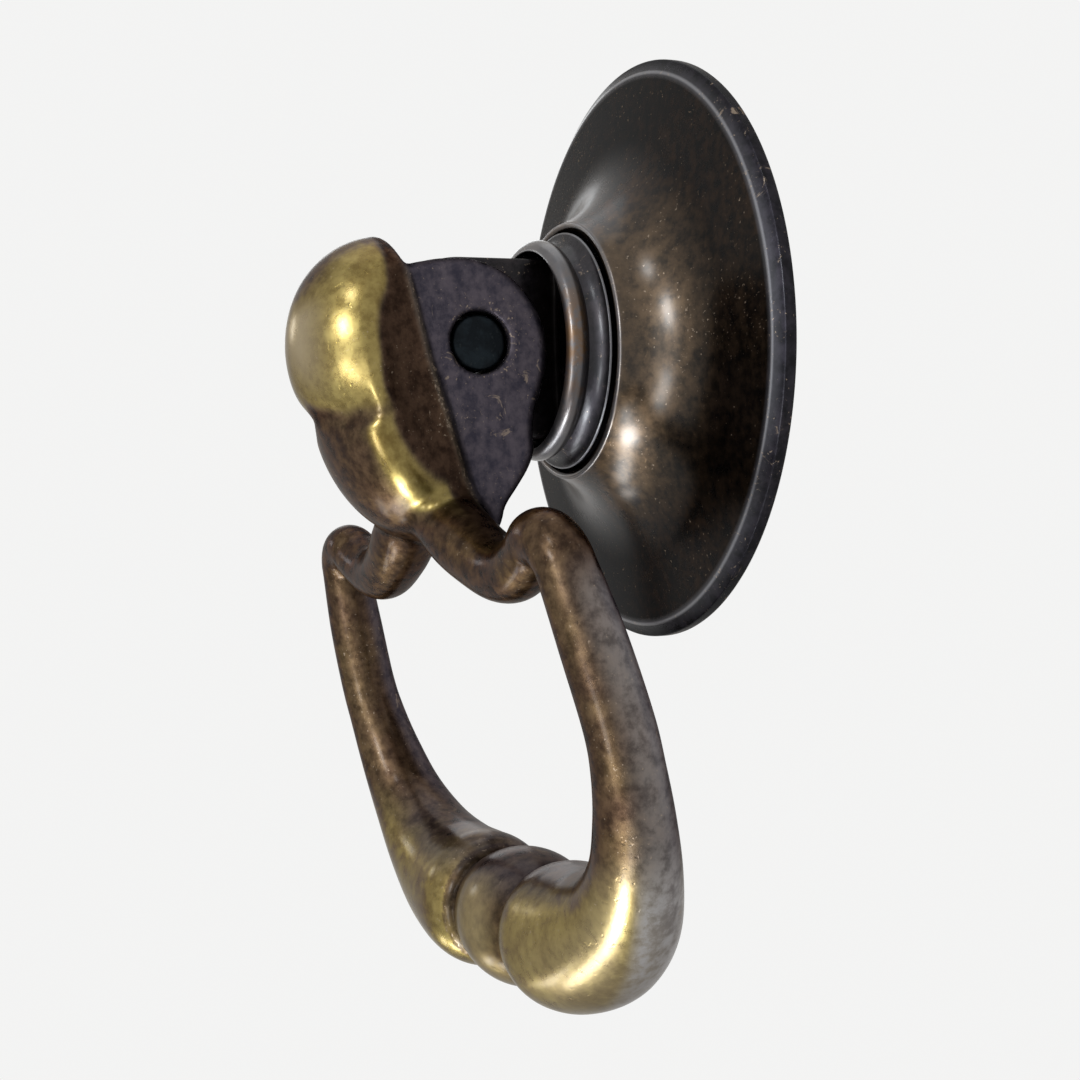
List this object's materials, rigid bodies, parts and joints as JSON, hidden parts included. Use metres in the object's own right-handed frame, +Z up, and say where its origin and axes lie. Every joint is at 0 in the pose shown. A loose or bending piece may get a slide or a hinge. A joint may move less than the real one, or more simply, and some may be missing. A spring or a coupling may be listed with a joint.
{
  "type": "drop pull",
  "caption": "Drawer pull in antique brass: a beaded bail with scroll shoulders hangs from a shield-shaped head, pinned to a post that stands out of a belled round rosette.",
  "frame": {"origin": "on the rosette's axis, in the plane of its flat back, which lies on the drawer front", "axes": "+Y goes into the drawer front along the rosette's axis, so the pull stands out along -Y; +Z is up; the hinge pin lies along X"},
  "size_m": [0.0402, 0.021, 0.0506],
  "materials": {
    "dark_brass": "dark brown antique patina over turned brass, worn bright along the rims",
    "rubbed_brass": "antique brass casting, rubbed golden on the raised fronts and dark in the hollows",
    "blackened_steel": "blackened, satin"
  },
  "bodies": {
    "root": {"backplate": "dark_brass", "collar": "dark_brass", "pivot_post": "dark_brass"},
    "drop_handle": {"handle": "rubbed_brass", "hinge_pin": "blackened_steel"}
  },
  "joints": [
    {"name": "handle_hinge", "type": "hinge", "parent": "root", "child": "drop_handle", "pos_m": [0, -0.01183, 0], "axis": [-1, 0, 0], "range_deg": [-8, 67]}
  ]
}
